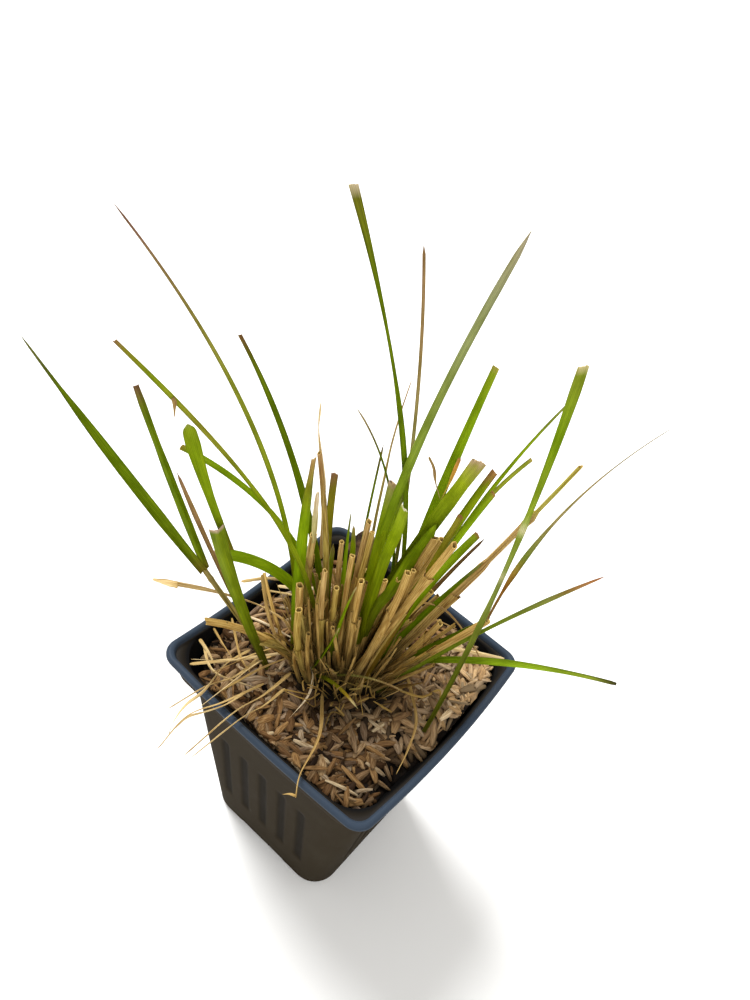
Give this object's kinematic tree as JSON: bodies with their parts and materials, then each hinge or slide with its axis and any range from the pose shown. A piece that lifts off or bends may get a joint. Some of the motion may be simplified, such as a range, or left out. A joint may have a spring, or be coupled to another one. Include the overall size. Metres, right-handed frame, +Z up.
{
  "type": "potted feather reed grass",
  "caption": "Clump-forming ornamental grass, cut back and sprouting, with hollow straw-coloured stubs and arching green blades, growing in mulched soil in a square tapered nursery pot.",
  "frame": {"origin": "centre of the pot's base, on the surface that the pot stands on", "axes": "+Z up along the pot's axis, +X and +Y square to the pot's side walls"},
  "size_m": [0.1553, 0.1313, 0.2578],
  "materials": {
    "pot_plastic": "moulded, lightly scuffed satin",
    "potting_soil": "moist dark peat and roots",
    "mulch_hulls": "dry hulls and wood shreds",
    "crown_fibre": "fibrous and matt",
    "bark": "rough dark bark",
    "green_leaf": "fresh ribbed blade with a soft sheen",
    "dry_leaf": "dry and matt",
    "cut_stem": "dry striated culm",
    "straw": "dry pale strand"
  },
  "bodies": {
    "root": {"pot": "pot_plastic", "potting_soil": "potting_soil", "mulch": "mulch_hulls", "crown": "crown_fibre", "bark_lump": "bark", "leaf_broad_left": "green_leaf", "leaf_dark_cut_left": "green_leaf", "leaf_browned_left": "green_leaf", "leaf_rounded_left": "green_leaf", "leaf_folded_front": "green_leaf", "leaf_banded_right": "green_leaf", "shoot_thin_right": "green_leaf", "leaf_tall_left": "green_leaf", "leaf_long_cut_left": "green_leaf", "leaf_arching_left": "green_leaf", "leaf_folded_left": "green_leaf", "leaf_dark_left": "green_leaf", "shoot_browned_back": "green_leaf", "leaf_broad_inner": "green_leaf", "leaf_tallest": "green_leaf", "leaf_reddish_thin": "dry_leaf", "leaf_faded_right": "green_leaf", "leaf_striped_right": "green_leaf", "leaf_thin_back": "green_leaf", "leaf_curved_back": "green_leaf", "leaf_torn_right": "green_leaf", "leaf_browned_right": "green_leaf", "leaf_short_right": "green_leaf", "leaf_reddened_right": "green_leaf", "leaf_low_right": "green_leaf", "culm_forked_left": "green_leaf", "culm_jointed_right": "cut_stem", "cut_stem_01": "cut_stem", "cut_stem_02": "cut_stem", "cut_stem_03": "cut_stem", "cut_stem_04": "cut_stem", "cut_stem_05": "cut_stem", "cut_stem_06": "cut_stem", "cut_stem_07": "cut_stem", "cut_stem_08": "cut_stem", "cut_stem_09": "cut_stem", "cut_stem_10": "cut_stem", "cut_stem_11": "cut_stem", "cut_stem_12": "cut_stem", "cut_stem_13": "cut_stem", "cut_stem_14": "cut_stem", "cut_stem_15": "cut_stem", "cut_stem_16": "cut_stem", "cut_stem_17": "cut_stem", "cut_stem_18": "cut_stem", "cut_stem_19": "cut_stem", "cut_stem_leaning_right": "cut_stem", "cut_stem_frayed_right": "cut_stem", "cut_stem_arching_left": "cut_stem", "straw_left_1": "straw", "straw_left_2": "straw", "straw_left_3": "straw", "straw_left_4": "straw", "straw_front": "straw", "straw_flat_tip": "straw"}
  },
  "joints": []
}
